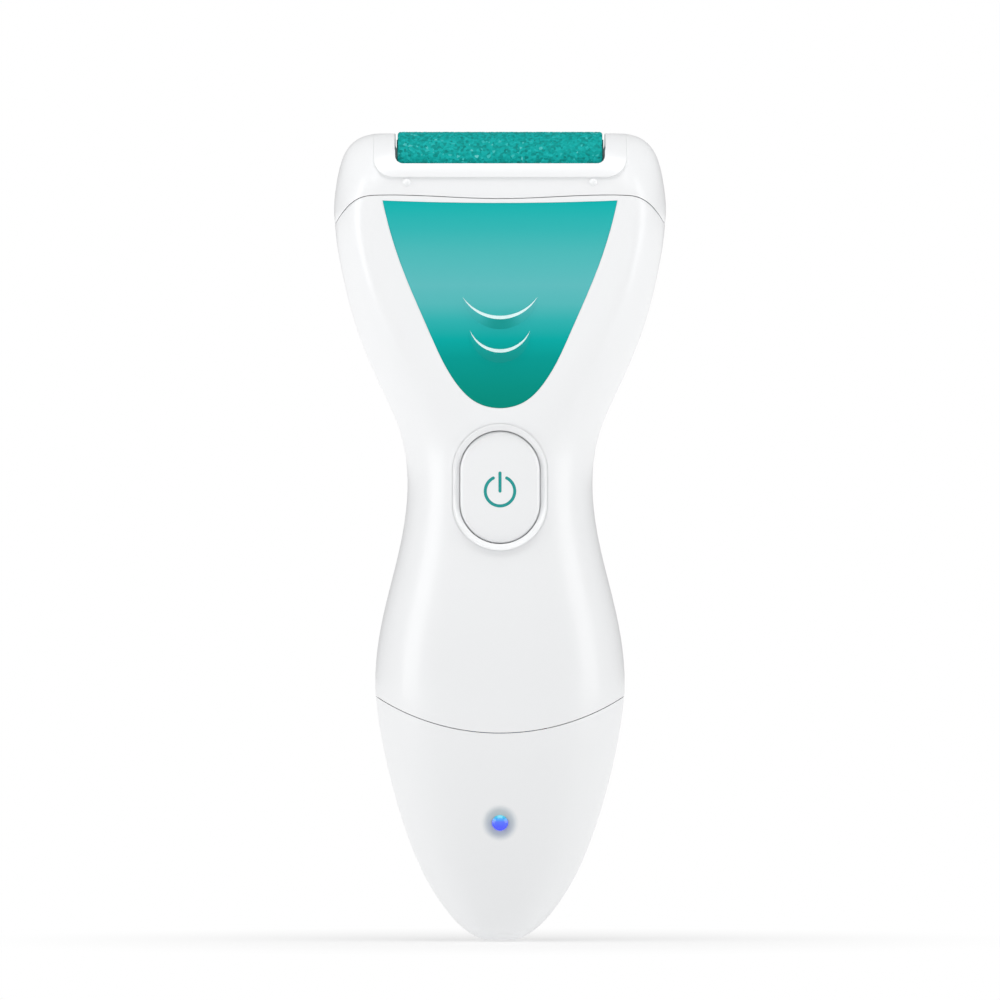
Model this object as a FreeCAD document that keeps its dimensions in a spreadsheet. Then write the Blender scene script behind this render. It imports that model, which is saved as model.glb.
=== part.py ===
"""Electric callus remover, a handheld powered foot file: a FreeCAD document of separate pieces.

The origin is at the middle of the rounded bottom end. +Z runs up the handle to the roller, the front,
with the power button, faces -Y, and +X is to the right of somebody who looks at the front.
Lengths are millimetres and angles are degrees.
"""
import FreeCAD
import Part
import math
import os
import re
import Sketcher

Vec = FreeCAD.Vector
AXES = {"x": Vec(1, 0, 0), "y": Vec(0, 1, 0), "z": Vec(0, 0, 1)}
TURNS = {
    "x": FreeCAD.Rotation(Vec(0, 1, 0), 90),
    "y": FreeCAD.Rotation(Vec(1, 0, 0), -90),
    "z": FreeCAD.Rotation(),
}
LATHE_TURNS = {
    "x": FreeCAD.Rotation(),
    "y": FreeCAD.Rotation(Vec(0, 0, 1), 90),
    "z": FreeCAD.Rotation(Vec(0, 1, 0), -90),
}
REACH = 60.0  # further than any surface of the object is from its middle plane

# Levels of the housing: height, half width, depth in front, depth behind, depth of the flattened face in
# its middle, and how much less deep the middle of the face is than its sides.
# A face depth of 0 leaves the section a plain superellipse.
LEVELS = (
    (0.0, 3.4, 3.0, 3.0, 0.0, 0.0),
    (0.8, 5.4, 4.7, 4.7, 0.0, 0.0),
    (2.6, 7.9, 6.8, 6.8, 0.0, 0.0),
    (6.0, 11.0, 9.3, 9.3, 0.0, 0.0),
    (12.0, 14.9, 12.4, 12.4, 0.0, 0.0),
    (22.0, 19.2, 15.6, 15.6, 0.0, 0.0),
    (34.0, 22.7, 18.2, 18.6, 0.0, 0.0),
    (52.0, 25.5, 19.5, 20.6, 0.0, 0.0),
    (66.0, 23.9, 18.9, 19.2, 0.0, 0.0),
    (80.0, 20.5, 17.3, 16.0, 0.0, 0.0),
    (94.0, 18.9, 16.2, 14.2, 0.0, 0.0),
    (103.0, 20.2, 16.4, 14.8, 18.2, 1.6),
    (113.0, 24.4, 17.7, 16.3, 15.1, 2.2),
    (124.0, 29.0, 19.5, 18.4, 13.6, 2.3),
    (136.0, 32.2, 21.0, 20.3, 12.6, 2.1),
    (147.0, 33.8, 20.8, 21.0, 12.2, 1.6),
    (154.0, 33.5, 19.0, 19.6, 12.2, 1.1),
    (159.0, 32.4, 14.5, 16.5, 10.6, 0.9),
    (162.2, 30.7, 10.2, 12.5, 7.2, 0.9),
    (164.0, 28.2, 6.6, 9.0, 4.4, 0.9),
    (164.7, 25.0, 4.2, 6.4, 2.6, 0.9),
)

DIMENSIONS = {
    # housing
    "housing_height": 164.7,
    "wall": 1.8,
    "squareness": 2.4,
    "crease_blend": 1.8,
    "back_flat": 19.5,
    "shell_gap": 0.06,
    "seam_gap": 0.14,
    "cap_seam_low": 42.4,
    "cap_seam_radius": 47.5,
    # roller bay
    "panel_depth": 1.2,
    "panel_clear": 0.04,
    "rib_crest": 1.0,
    "rib_sink": 0.6,
    "rib_bevel": 0.8,
    "rim_half_width": 25.8,
    "rim_bottom": 155.6,
    "rim_back": 158.0,
    "rim_corner": 4.0,
    "rim_height": 0.4,
    "window_half": 21.4,
    "window_bottom": 158.4,
    "window_back": 161.0,
    "window_corner": 1.6,
    "bay_radius": 8.8,
    "bay_half": 21.5,
    "tub_radius": 9.8,
    "tub_half": 23.1,
    "gear_room_radius": 5.25,
    "nib_x": 19.0,
    "nib_z": 154.55,
    "nib_radius": 0.9,
    "nib_height": 0.5,
    "rim_clear": 0.02,
    "slider_clear": 0.3,
    # roller
    "roller_y": -1.5,
    "roller_z": 157.0,
    "roller_radius": 8.0,
    "roller_half": 20.9,
    "core_radius": 6.5,
    "core_bore": 5.0,
    "core_half": 20.6,
    "cap_reach": 16.5,
    "cap_flange": 21.1,
    "hex_flats": 3.2,
    "pin_radius": 1.5,
    "pin_start": 19.2,
    "pin_end": 26.4,
    "release_travel": 2.0,
    "pad_height": 1.0,
    "spring_start": 25.4,
    "spring_length": 4.4,
    "spring_pitch": 1.05,
    "spring_radius": 2.1,
    "spring_wire": 0.22,
    "bush_bore": 1.95,
    "bush_radius": 2.9,
    "running_gap": 0.05,
    # gears
    "tooth_module": 0.5,
    "pressure_angle": 20.0,
    "drive_teeth": 18,
    "small_teeth": 16,
    "large_teeth": 30,
    "pinion_teeth": 10,
    "inner_plane": -25.5,
    "outer_plane": -27.4,
    "drive_width": 2.0,
    "small_width": 1.8,
    "large_width": 1.6,
    "axle_radius": 1.0,
    "gear_plate_x": -27.8,
    "gear_plate_thick": 0.8,
    "bracket_top": 143.3,
    "gear_step_back": 2.0,
    # motor
    "motor_width": 20.2,
    "motor_flats": 15.1,
    "motor_face": -22.9,
    "motor_length": 25.0,
    "magnet_radius": 9.25,
    "bell_length": 3.0,
    "terminal_step": 6.0,
    "nose_radius": 3.0,
    "bracket_thick": 1.4,
    "post_radius": 1.25,
    "lead_radius": 0.5,
    "shaft_radius": 1.0,
    # button
    "button_z": 92.4,
    "button_width": 16.1,
    "button_height": 22.8,
    "button_face": 17.0,
    "skirt_face": 14.7,
    "flange_face": 12.95,
    "flange_back": 12.2,
    "plunger_face": 14.1,
    "plunger_radius": 1.75,
    "bezel_width": 19.4,
    "bezel_height": 25.9,
    "bezel_hole": 16.6,
    "bezel_lift": 0.8,
    "bezel_slope": 1.1,
    "foot_back": 11.3,
    "crown_across": 36.0,
    "crown_along": 70.0,
    "icon_z": 91.6,
    "icon_radius": 3.0,
    "icon_line": 0.62,
    "icon_opening": 27.0,
    "icon_bar": 4.3,
    "icon_bar_rise": 1.85,
    "icon_depth": 0.3,
    # boards and battery
    "board_front": -10.6,
    "board_back": -9.6,
    "board_half": 11.0,
    "board_low": 73.0,
    "board_high": 113.0,
    "battery_y": 4.0,
    "battery_radius": 7.1,
    "battery_low": 24.6,
    "battery_high": 73.4,
    "lamp_z": 24.1,
    "lamp_radius": 1.6,
    "dish_radius": 3.6,
    "dish_depth": 0.7,
    "lens_back": 13.15,
    "lamp_front": -16.15,
    # screws and the shells' inner ribs
    "rib_width": 1.6,
    "seat_clear": 0.15,
    "boss_radius": 3.0,
    "board_boss_radius": 2.2,
    "screw_y": 8.0,
    "screw_radius": 1.1,
    "upper_screw_x": 20.0,
    "upper_screw_z": 122.5,
    "lower_screw_x": 16.5,
    "lower_screw_z": 58.0,
}
LEVEL_WORDS = ("height", "half", "front", "back", "face", "hollow")

# The seam between head and handle, seen from the front: half of it, from the middle outwards.
HEAD_SEAM = ((0.0, 151.2), (24.9, 151.9), (28.4, 151.4), (30.3, 150.3), (33.5, 146.4), (37.0, 141.9))
# The front panel's edge, from its lowest point to its top corner.
PANEL_EDGE = ((0.0, 108.5), (5.0, 109.8), (9.0, 113.7), (14.6, 124.5), (20.7, 139.2), (23.9, 150.8))
PANEL_TOP_MIDDLE = 150.3
# The thumb ribs' arcs: centre and radius of the lower edge, centre and radius of the upper edge.
RIBS = ((132.67, 8.11, 136.5, 9.96), (124.06, 6.36, 127.12, 7.42))

# Blocks between a lowest and a highest corner. The release catch behind the head:
SLIDER_SLOT = ((12.8, 12.0, 153.5), (19.3, 22.0, 156.5))
SLIDER_PAD = ((10.5, 5.0, 152.6), (19.5, 19.1, 157.3))
SLIDER_NECK = ((13.0, 9.5, 153.8), (17.0, 17.9, 156.2))
SLIDER_PLATE = ((11.0, 8.8, 153.7), (24.9, 10.0, 158.6))
SLIDER_ARM = ((23.5, -4.0, 154.5), (24.9, 10.0, 159.3))
# The charging inlet: its shell, the room for a plug and the opening in the cap.
SOCKET_SHELL = ((-3.8, -1.35, 1.2), (3.8, 1.45, 7.0))
SOCKET_ROOM = ((-3.5, -1.05, 0.0), (3.5, 1.15, 6.6))
SOCKET_OPENING = ((-3.95, -1.5, -1.0), (3.95, 1.6, 8.0))
# The posts behind the motor bracket and its two screws, from the motor's axis: back and up.
POSTS = ((-5.7, 0.2), (4.3, 0.7))
BRACKET_SCREWS = ((-5.0, -4.5), (5.0, -4.5))
BOARD_SCREWS = ((-8.2, 75.6), (8.2, 110.0))
# Ribs inside the rear shell: heights of those under the battery, places of those beside the motor.
BATTERY_RIBS = (56.0, 68.0)
MOTOR_RIBS = (-16.0, -3.0)
# Leads, as the points that each follows.
BATTERY_TOP_LEAD = ((-2.0, 3.0, 75.2), (-4.0, 0.0, 77.0), (-5.4, -5.0, 77.6), (-5.6, -8.9, 77.0))
BATTERY_LOW_LEAD = (
    (3.2, 6.0, 24.0), (6.5, 6.0, 22.6), (9.2, 5.0, 25.0), (9.4, 4.4, 30.0), (9.4, 4.4, 50.0),
    (9.4, 4.4, 66.0), (8.6, 0.0, 73.0), (6.6, -6.0, 76.2), (5.8, -8.9, 76.6),
)
CHARGE_LEAD = (
    (3.4, 0.8, 19.0), (4.0, -1.6, 21.5), (4.6, -5.4, 28.0), (4.6, -5.6, 48.0), (4.6, -5.8, 66.0),
    (3.6, -8.0, 73.2), (2.2, -8.9, 77.4),
)

doc = FreeCAD.newDocument("callus_remover")
dims = doc.addObject("Spreadsheet::Sheet", "dims")


def fill_sheet():
    rows = dict(DIMENSIONS)
    for number, level in enumerate(LEVELS):
        for word, value in zip(LEVEL_WORDS, level):
            rows[f"level_{number:02d}_{word}"] = value
    rows["tooth_gap"] = 0.05
    rows["idler_y"] = rows["roller_y"] + rows["gear_step_back"]
    rows["idler_z"] = lower_centre(rows, rows["roller_z"], "drive_teeth", "small_teeth")
    rows["motor_y"] = rows["idler_y"] + rows["gear_step_back"]
    rows["motor_z"] = lower_centre(rows, rows["idler_z"], "large_teeth", "pinion_teeth")
    for row, (alias, value) in enumerate(rows.items(), start=1):
        dims.set(f"A{row}", alias)
        dims.set(f"B{row}", f"{value:.6g}")
        dims.setAlias(f"B{row}", alias)
    doc.recompute()


def lower_centre(rows, upper, one, other):
    """Height of a gear's axis that meshes with the one above it and lies a fixed step behind."""
    distance = rows["tooth_module"] * (rows[one] + rows[other]) / 2 + rows["tooth_gap"]
    return upper - math.sqrt(distance**2 - rows["gear_step_back"] ** 2)


def size(alias):
    """The value in the sheet's cell of that alias."""
    return float(dims.get(alias))


def bind(item, prop, text):
    """Binds a property to an expression in which every alias stands for its cell."""
    item.setExpression(prop, re.sub(r"\b([a-z]+(?:_[a-z0-9]+)+|wall|squareness)\b", r"dims.\1", str(text)))


# ---------------------------------------------------------------- parametric helpers


def placed(item, axis, start, across):
    """Turns a primitive along an axis and binds its base: start along the axis, across on the others."""
    item.Placement = FreeCAD.Placement(Vec(), TURNS[axis])
    others = [letter for letter in "xyz" if letter != axis]
    bind(item, f"Placement.Base.{axis}", start)
    for letter, text in zip(others, across):
        bind(item, f"Placement.Base.{letter}", text)
    return item


def cylinder(name, radius, axis, start, length, across=("0", "0")):
    item = doc.addObject("Part::Cylinder", name)
    bind(item, "Radius", radius)
    bind(item, "Height", length)
    return placed(item, axis, start, across)


def box(name, low, high):
    """A box from its lowest to its highest corner, each three expressions."""
    item = doc.addObject("Part::Box", name)
    for side, letter, bottom, top in zip(("Length", "Width", "Height"), "xyz", low, high):
        bind(item, side, f"({top}) - ({bottom})")
        bind(item, f"Placement.Base.{letter}", bottom)
    return item


def joined(name, items):
    fused = doc.addObject("Part::MultiFuse", name)
    fused.Shapes = items
    return fused


def cut(name, base, tool):
    result = doc.addObject("Part::Cut", name)
    result.Base = base
    result.Tool = tool
    return result


def group(name, items):
    """Several solids that stay separate, as one object."""
    result = doc.addObject("Part::Compound", name)
    result.Links = items
    return result


def feature(name, shape):
    """A piece whose shape is worked out below from the sheet's values."""
    item = doc.addObject("Part::Feature", name)
    item.Shape = shape
    return item


def origin_plane(body, role):
    return next(part for part in body.Origin.OriginFeatures if part.Role == role)


def outline_sketch(body, role, corners):
    """A closed outline of straight sides. Each corner is a pair of expressions, held by two constraints."""
    sketch = body.newObject("Sketcher::SketchObject", body.Name + "_outline")
    sketch.AttachmentSupport = (origin_plane(body, role), [""])
    sketch.MapMode = "FlatFace"
    values = [[doc_value(text) for text in corner] for corner in corners]
    count = len(corners)
    for here in range(count):
        start = Vec(*values[here], 0)
        end = Vec(*values[(here + 1) % count], 0)
        sketch.addGeometry(Part.LineSegment(start, end), False)
    for here in range(count):
        sketch.addConstraint(Sketcher.Constraint("Coincident", here, 2, (here + 1) % count, 1))
    for here, corner in enumerate(corners):
        for kind, text, value in zip(("DistanceX", "DistanceY"), corner, values[here]):
            number = sketch.addConstraint(Sketcher.Constraint(kind, -1, 1, here, 1, value))
            bind(sketch, f"Constraints[{number}]", text)
    return sketch


def doc_value(text):
    """The number that an expression of aliases comes to."""
    for name in sorted(DIMENSIONS, key=len, reverse=True):
        text = re.sub(rf"\b{name}\b", f"({size(name)})", text)
    return FreeCAD.Units.Quantity(text).Value


def turned(name, corners, axis="x", across=("0", "0")):
    """A turned piece: its half profile of (along, radius) corners is revolved about its own axis."""
    body = doc.addObject("PartDesign::Body", name)
    sketch = outline_sketch(body, "XZ_Plane", corners)
    spin = body.newObject("PartDesign::Revolution", name + "_turned")
    spin.Profile = sketch
    spin.ReferenceAxis = (sketch, ["H_Axis"])
    spin.Angle = 360
    sketch.Visibility = False
    body.Placement = FreeCAD.Placement(Vec(), LATHE_TURNS[axis])
    others = [letter for letter in "xyz" if letter != axis]
    for letter, text in zip(others, across):
        bind(body, f"Placement.Base.{letter}", text)
    return body


# ---------------------------------------------------------------- the housing's curved surfaces

OUTLINE_POINTS = 48  # they start behind, where the surface's own seam is


def soft_minimum(one, other, blend):
    """The smaller of two depths, with a rounded change from one to the other."""
    near = max(blend - abs(one - other), 0.0) / blend
    return min(one, other) - near * near * blend / 4.0


def section(level, grow):
    """The closed outline of the housing at one level, grown outwards."""
    height, half, front, back, face, hollow = level
    half, front, back = half + grow, front + grow, back + grow
    face = face + grow if face else 0.0
    z = height + grow * (2 * height / size("housing_height") - 1)
    power = 2 / size("squareness")
    points = []
    for number in range(OUTLINE_POINTS):
        angle = 2 * math.pi * number / OUTLINE_POINTS + math.pi / 2
        x = half * math.copysign(abs(math.cos(angle)) ** power, math.cos(angle))
        bulge = abs(math.sin(angle)) ** power
        if math.sin(angle) > 0:
            points.append(Vec(x, back * bulge, z))
            continue
        depth = front * bulge
        if face:
            flat = face + hollow * (x / half) ** 2
            depth = soft_minimum(depth, flat, size("crease_blend"))
        points.append(Vec(x, -depth, z))
    curve = Part.BSplineCurve()
    curve.interpolate(Points=points, PeriodicFlag=True)
    return Part.Wire([curve.toShape()])


def housing(levels, offset=0.0, fade=0.0):
    """A stretch of the housing, grown by an offset that dies out over the topmost fade millimetres."""
    outlines = []
    top = size("housing_height")
    for number in levels:
        level = [size(f"level_{number:02d}_{word}") for word in LEVEL_WORDS]
        part_left = min(1.0, (top - level[0]) / fade) if fade else 1.0
        outlines.append(section(level, offset * part_left))
    solid = Part.makeLoft(outlines, True, False)
    behind = size("back_flat") + offset
    return solid.cut(Part.makeBox(2 * REACH, REACH, 4 * REACH, Vec(-REACH, behind, -REACH / 2)))


def prism(edges, front=-REACH, back=REACH):
    """The solid behind a closed outline drawn in the XZ plane, from one depth to another."""
    face = Part.Face(Part.Wire(edges))
    face.translate(Vec(0, front, 0))
    return face.extrude(Vec(0, back - front, 0))


def line(one, other):
    return Part.LineSegment(Vec(one[0], 0, one[1]), Vec(other[0], 0, other[1])).toShape()


def arc(one, middle, other):
    ends = [Vec(point[0], 0, point[1]) for point in (one, middle, other)]
    return Part.Arc(*ends).toShape()


def spline(points):
    curve = Part.BSplineCurve()
    curve.interpolate(Points=[Vec(x, 0, z) for x, z in points])
    return curve.toShape()


def mirrored(half):
    """Both sides of an outline from its half, which starts on the middle plane."""
    return [(-x, z) for x, z in reversed(half[1:])] + list(half)


def head_seam(shift):
    """The line between head and handle, with its two ends."""
    points = [(x, z + shift) for x, z in mirrored(HEAD_SEAM)]
    return spline(points), points[0], points[-1]


def cap_seam(shift):
    """The line between bottom cap and handle, with its two ends."""
    radius = size("cap_seam_radius")
    low = size("cap_seam_low") + shift
    reach = HEAD_SEAM[-1][0]
    rise = radius - math.sqrt(radius**2 - reach**2)
    left, right = (-reach, low + rise), (reach, low + rise)
    return arc(left, (0, low), right), left, right


def level_line(height):
    """A straight line across the object, with its two ends."""
    left, right = (-HEAD_SEAM[-1][0], height), (HEAD_SEAM[-1][0], height)
    return line(left, right), left, right


def between(lower, upper, front=-REACH, back=REACH):
    """Everything between two lines that cross the object."""
    return prism([lower[0], line(lower[2], upper[2]), upper[0], line(upper[1], lower[1])], front, back)


def stadium(width, height, z, front, back):
    """An upright slot shape: straight sides and round ends."""
    half, rise = width / 2, (height - width) / 2
    return prism([
        line((half, z - rise), (half, z + rise)),
        arc((half, z + rise), (0, z + height / 2), (-half, z + rise)),
        line((-half, z + rise), (-half, z - rise)),
        arc((-half, z - rise), (0, z - height / 2), (half, z - rise)),
    ], front, back)


def notch(half, low, corner, front, back):
    """An opening that is open at the top and has two rounded lower corners."""
    top = size("housing_height") + REACH
    slant = corner * (1 - math.sqrt(0.5))
    return prism([
        line((-half, top), (-half, low + corner)),
        arc((-half, low + corner), (-half + slant, low + slant), (-half + corner, low)),
        line((-half + corner, low), (half - corner, low)),
        arc((half - corner, low), (half - slant, low + slant), (half, low + corner)),
        line((half, low + corner), (half, top)),
        line((half, top), (-half, top)),
    ], front, back)


def block(low, high):
    """A box between two corners."""
    return Part.makeBox(*(b - a for a, b in zip(low, high)), Vec(*low))


def rod(radius, along, start, end, across):
    """A cylinder along one axis, across being its place on the other two."""
    others = [letter for letter in "xyz" if letter != along]
    base = AXES[along] * start
    for letter, value in zip(others, across):
        base = base + AXES[letter] * value
    return Part.makeCylinder(radius, end - start, base, AXES[along])


def fused(shapes):
    return shapes[0].multiFuse(list(shapes[1:])).removeSplitter()


# ---------------------------------------------------------------- gears


def gear(teeth, start, end, axis_y, axis_z, first_tooth, bore=0.0):
    """A spur gear about an axis along X. first_tooth is a tooth's direction, from +Y towards +Z."""
    module = size("tooth_module")
    slope = math.radians(size("pressure_angle"))
    pitch = module * teeth / 2
    base, tip, root = pitch * math.cos(slope), pitch + 0.75 * module, pitch - 1.1 * module
    half_tooth = math.pi / (2 * teeth) - 0.04 / pitch + math.tan(slope) - slope

    def on(radius, angle):
        return Vec(0, radius * math.cos(angle), radius * math.sin(angle))

    def flank(radius):
        """How far the flank has come round from the tooth's middle at that radius."""
        reach = math.sqrt(max((radius / base) ** 2 - 1, 0.0))
        return half_tooth - (reach - math.atan(reach))

    lowest = max(base, root)
    radii = [lowest + (tip - lowest) * step / 3 for step in range(4)]
    edges = []
    for number in range(teeth):
        middle = math.radians(first_tooth) + 2 * math.pi * number / teeth
        turn = math.pi / teeth
        rising = [on(radius, middle - flank(radius)) for radius in radii]
        falling = [on(radius, middle + flank(radius)) for radius in reversed(radii)]
        foot = on(root, middle - flank(lowest))
        heel = on(root, middle + flank(lowest))
        following = on(root, middle + 2 * turn - flank(lowest))
        if root < lowest:
            edges.append(Part.LineSegment(foot, rising[0]).toShape())
        for side in (rising, falling):
            curve = Part.BSplineCurve()
            curve.interpolate(Points=side)
            edges.append(curve.toShape())
            if side is rising:
                edges.append(Part.Arc(rising[-1], on(tip, middle), falling[0]).toShape())
        if root < lowest:
            edges.append(Part.LineSegment(falling[-1], heel).toShape())
        edges.append(Part.Arc(heel, on(root, middle + turn), following).toShape())
    face = Part.Face(Part.Wire(Part.__sortEdges__(edges)))
    face.translate(Vec(start, axis_y, axis_z))
    wheel = face.extrude(Vec(end - start, 0, 0))
    if bore:
        wheel = wheel.cut(rod(bore, "x", start - 1, end + 1, (axis_y, axis_z)))
    return wheel


def hexagon(across_flats, start, end, axis_y, axis_z):
    radius = across_flats / math.sqrt(3)
    corners = [Vec(start, axis_y + radius * math.cos(math.radians(60 * k)), axis_z + radius * math.sin(
        math.radians(60 * k))) for k in range(7)]
    return Part.Face(Part.makePolygon(corners)).extrude(Vec(end - start, 0, 0))


def direction(from_y, from_z, to_y, to_z):
    return math.degrees(math.atan2(to_z - from_z, to_y - from_y))


def wire_along(points):
    """A round lead that follows a smooth curve through the points."""
    curve = Part.BSplineCurve()
    curve.interpolate(Points=[Vec(*point) for point in points])
    path = Part.Wire([curve.toShape()])
    begin = curve.tangent(curve.FirstParameter)[0]
    ring = Part.Wire([Part.Circle(Vec(*points[0]), begin, size("lead_radius")).toShape()])
    return path.makePipeShell([ring], True, True)


# ---------------------------------------------------------------- shared solids

fill_sheet()
wall = size("wall")
HEAD_LEVELS = range(13, len(LEVELS))
HANDLE_LEVELS = range(5, 18)
CAP_LEVELS = range(0, 9)
BEZEL_LEVELS = range(8, 14)
PANEL_LEVELS = range(10, 19)
half_gap = size("seam_gap") / 2
head_outer = housing(HEAD_LEVELS)
head_cavity = housing(HEAD_LEVELS, -wall)
handle_outer = housing(HANDLE_LEVELS)
handle_cavity = housing(HANDLE_LEVELS, -wall)
tub_space = housing(HEAD_LEVELS, -wall - size("shell_gap"))
roomy = housing(HEAD_LEVELS, -wall - size("slider_clear"))  # the space that the head's moving pieces keep to
panel_back = housing(PANEL_LEVELS, -size("panel_depth"))
roller_at = (size("roller_y"), size("roller_z"))
idler_at = (size("idler_y"), size("idler_z"))
motor_at = (size("motor_y"), size("motor_z"))

# ---------------------------------------------------------------- head


def rim_region(grow):
    """The raised rim's region round the roller window, lower in front than behind."""
    half = size("rim_half_width") + grow
    corner = size("rim_corner") + grow
    front = notch(half, size("rim_bottom") - grow, corner, -REACH, size("roller_y"))
    rear = notch(half, size("rim_back") - grow, corner, size("roller_y"), REACH)
    return front.fuse(rear)


def moved(shape, way):
    """A copy of a shape at another place."""
    copy = shape.copy()
    copy.translate(way)
    return copy


def make_head_frame():
    seat = rod(2.6, "x", 30.3, 33.0, roller_at)
    top = level_line(size("housing_height") + 5)
    shell = head_outer.common(between(head_seam(half_gap), top)).cut(head_cavity.cut(seat))
    nibs = []
    for side in (-1, 1):
        x, z = side * size("nib_x"), size("nib_z")
        surface = surface_y(head_outer, x, z)
        centre = Vec(x, surface + size("nib_radius") - size("nib_height"), z)
        nibs.append(Part.makeSphere(size("nib_radius"), centre))
    return shell.cut([rim_region(size("rim_clear")), block(*SLIDER_SLOT)]).multiFuse(nibs)


def make_roller_cradle():
    y, z = roller_at
    half, bay = size("tub_half"), size("bay_half")
    back_z = size("window_back")
    rim_form = housing(HEAD_LEVELS, size("rim_height"), 6.0)
    tub = fused([
        rod(size("tub_radius"), "x", -half, half, roller_at),
        block((-half, 2.0, back_z - 1.2), (half, REACH, back_z + 6)),
    ])
    rim = rim_form.common(rim_region(0)).cut(head_cavity.cut(tub))
    gear_room = rod(size("gear_room_radius"), "x", size("inner_plane") - 0.4, -half, roller_at)
    return rim.fuse(tub.common(tub_space)).cut([
        gear_room,
        rod(size("bay_radius"), "x", -bay, bay, roller_at),
        notch(size("window_half"), size("window_bottom"), size("window_corner"), -REACH, y),
        notch(size("window_half"), back_z, size("window_corner"), y, REACH),
        rod(size("bush_radius"), "x", -half - 1, -bay + 1, roller_at),
        rod(size("pin_radius") + size("running_gap"), "x", bay - 1, half + 1, roller_at),
    ])


def make_release_slider():
    """Thumb pad behind the head, a plate round the roller bay and the arm that holds the pin."""
    clear, groove_radius = size("slider_clear"), 0.45
    lifted = moved(head_outer, Vec(0, clear + size("pad_height"), 0))
    pad = block(*SLIDER_PAD).common(lifted).cut(moved(head_outer, Vec(0, clear, 0)))
    for step in range(3):
        place = (12.6 + 2.4 * step, pad.BoundBox.YMax - 0.55 * step)
        pad = pad.cut(rod(groove_radius, "z", SLIDER_PAD[0][2] - 1, SLIDER_PAD[1][2] + 1, place))
    reach = moved(roomy, Vec(-size("release_travel"), 0, 0))
    inner = fused([block(*SLIDER_PLATE), block(*SLIDER_ARM)]).common(reach)
    body = fused([inner, block(*SLIDER_NECK), pad])
    return body.cut(rod(size("pin_radius"), "x", SLIDER_PAD[1][0], size("pin_end") + 1, roller_at))


def make_release_spring():
    """A compression coil round the pin's outer end."""
    radius = size("spring_radius")
    coil = Part.makeHelix(size("spring_pitch"), size("spring_length"), radius)
    ring = Part.Wire([Part.Circle(Vec(radius, 0, 0), Vec(0, 1, 0), size("spring_wire")).toShape()])
    spring = Part.Wire(coil).makePipeShell([ring], True, True)
    spring.rotate(Vec(), AXES["y"], 90)
    spring.translate(Vec(size("spring_start"), *roller_at))
    return spring


def make_drive_gear():
    y, z = roller_at
    start, end = size("inner_plane"), size("inner_plane") + size("drive_width")
    first = direction(*idler_at, y, z) + 180 + 180 / size("drive_teeth")
    wheel = gear(int(size("drive_teeth")), start, end, y, z, first)
    radius = size("bush_bore") - size("running_gap")
    bearing = rod(radius, "x", end - 0.5, -size("cap_flange") - 0.2, roller_at)
    dog = hexagon(size("hex_flats") - 0.1, -size("cap_flange") - 0.5, -18.2, y, z)
    return fused([wheel, bearing, dog])


def make_idler_gear():
    y, z = idler_at
    bore = size("axle_radius") + size("running_gap")
    outer_start = size("outer_plane")
    outer_end = outer_start + size("large_width")
    inner_start = size("inner_plane")
    inner_end = size("inner_plane") + size("small_width")
    large = gear(int(size("large_teeth")), outer_start, outer_end, y, z, direction(y, z, *motor_at), bore)
    small = gear(int(size("small_teeth")), inner_start, inner_end, y, z, direction(y, z, *roller_at), bore)
    hub = rod(3.1, "x", outer_end - 0.2, inner_start + 0.2, idler_at)
    hub = hub.cut(rod(bore, "x", outer_start - 1, inner_end + 1, idler_at))
    return fused([large, small, hub])


def make_pinion():
    first = direction(*idler_at, *motor_at) + 180 + 180 / size("pinion_teeth")
    start = size("outer_plane")
    return gear(int(size("pinion_teeth")), start, start + size("large_width"), *motor_at, first,
                size("shaft_radius"))


# ---------------------------------------------------------------- handle


def screw_places():
    for side in (-1, 1):
        yield side * size("upper_screw_x"), size("upper_screw_z")
        yield side * size("lower_screw_x"), size("lower_screw_z")


def panel_edges(grow):
    """The front panel's outline, grown for the recess that takes it."""
    points = mirrored(PANEL_EDGE)
    moved_out = []
    for number, (x, z) in enumerate(points):
        before, after = points[max(number - 1, 0)], points[min(number + 1, len(points) - 1)]
        along = Vec(after[0] - before[0], 0, after[1] - before[1]).normalize()
        moved_out.append((x + grow * along.z, z - grow * along.x))
    left, right = [(x, z + grow) for x, z in (moved_out[0], moved_out[-1])]
    moved_out[0], moved_out[-1] = left, right
    return [spline(moved_out), arc(right, (0, PANEL_TOP_MIDDLE + grow), left)]


def make_front_panel():
    plate = prism(panel_edges(0), -REACH, 0).common(housing(PANEL_LEVELS)).cut(panel_back)
    return plate.multiFuse([thumb_rib(*rib) for rib in RIBS])


def thumb_rib(low_centre, low_radius, high_centre, high_radius):
    """A raised crescent: highest close to its upper edge, from where it slopes down to its lower edge."""
    crest, sink, bevel = size("rib_crest"), size("rib_sink"), size("rib_bevel")
    slope = crest / (low_radius - high_radius + high_centre - low_centre)
    foot = low_radius + sink / slope
    z = low_centre
    bottom = low_centre - low_radius
    middle = 1.2
    span = 5.0
    here = surface_y(handle_outer, 0, bottom + middle)
    above = surface_y(handle_outer, 0, bottom + middle + span)
    tilt = math.degrees(math.atan2(above - here, span))
    hill = Part.makeCone(foot, 0, foot * slope, Vec(0, here + sink, z), Vec(0, -1, 0))
    inside, outside = crest + sink + 1.0, foot * slope
    hollow = Part.makeCone(high_radius - bevel * inside, high_radius + bevel * outside, inside + outside,
                           Vec(0, here - crest + inside, high_centre), Vec(0, -1, 0))
    rib = hill.cut(hollow)
    rib.rotate(Vec(0, here, bottom + middle), AXES["x"], -tilt)
    keep = Part.makeCylinder(low_radius, 4 * REACH, Vec(0, REACH, low_centre), Vec(0, -1, 0))
    return rib.common(keep)


def surface_y(solid, x, z):
    """The front surface's place at a point of the front view."""
    needle = Part.LineSegment(Vec(x, -REACH, z), Vec(x, 0, z)).toShape()
    return needle.common(solid).BoundBox.YMin


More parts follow.
